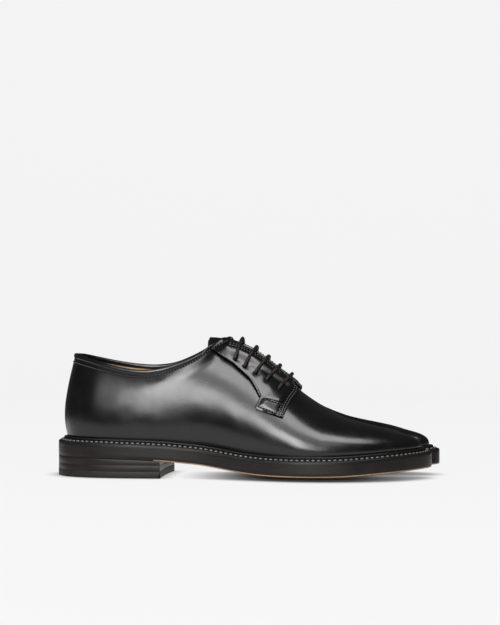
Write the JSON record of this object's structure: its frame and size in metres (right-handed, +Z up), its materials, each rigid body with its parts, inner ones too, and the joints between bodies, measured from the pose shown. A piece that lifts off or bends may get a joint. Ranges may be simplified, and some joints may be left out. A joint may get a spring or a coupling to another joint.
{
  "type": "split-toe leather derby shoe",
  "caption": "Right split-toe (tabi) leather derby shoe: hollow upper open at the collar, lacing flaps, stitched storm welt, leather sole with split toe and low stacked heel",
  "frame": {"origin": "on the floor, under the middle of the heel's top piece", "axes": "+X to the toe, +Y to the inner (big-toe) side, +Z up"},
  "size_m": [0.3, 0.1074, 0.1101],
  "materials": {
    "upper_leather": "polished",
    "sole_leather": "satin",
    "welt_leather": "satin",
    "heel_leather": "satin",
    "heel_rubber": "matte",
    "lining_leather": "matte",
    "lace_cord": "waxed"
  },
  "bodies": {
    "root": {"outsole": "sole_leather", "welt": "welt_leather", "top_piece": "heel_rubber", "heel_lift": "heel_leather", "heel_wedge": "heel_leather", "insole": "lining_leather", "upper": "upper_leather", "collar_binding": "upper_leather", "tongue": "upper_leather", "facing_lateral": "upper_leather", "facing_medial": "upper_leather", "lace_bar_1": "lace_cord", "lace_bar_2": "lace_cord", "lace_bar_3": "lace_cord", "lace_bar_4": "lace_cord", "lace_bar_5": "lace_cord"}
  },
  "joints": []
}
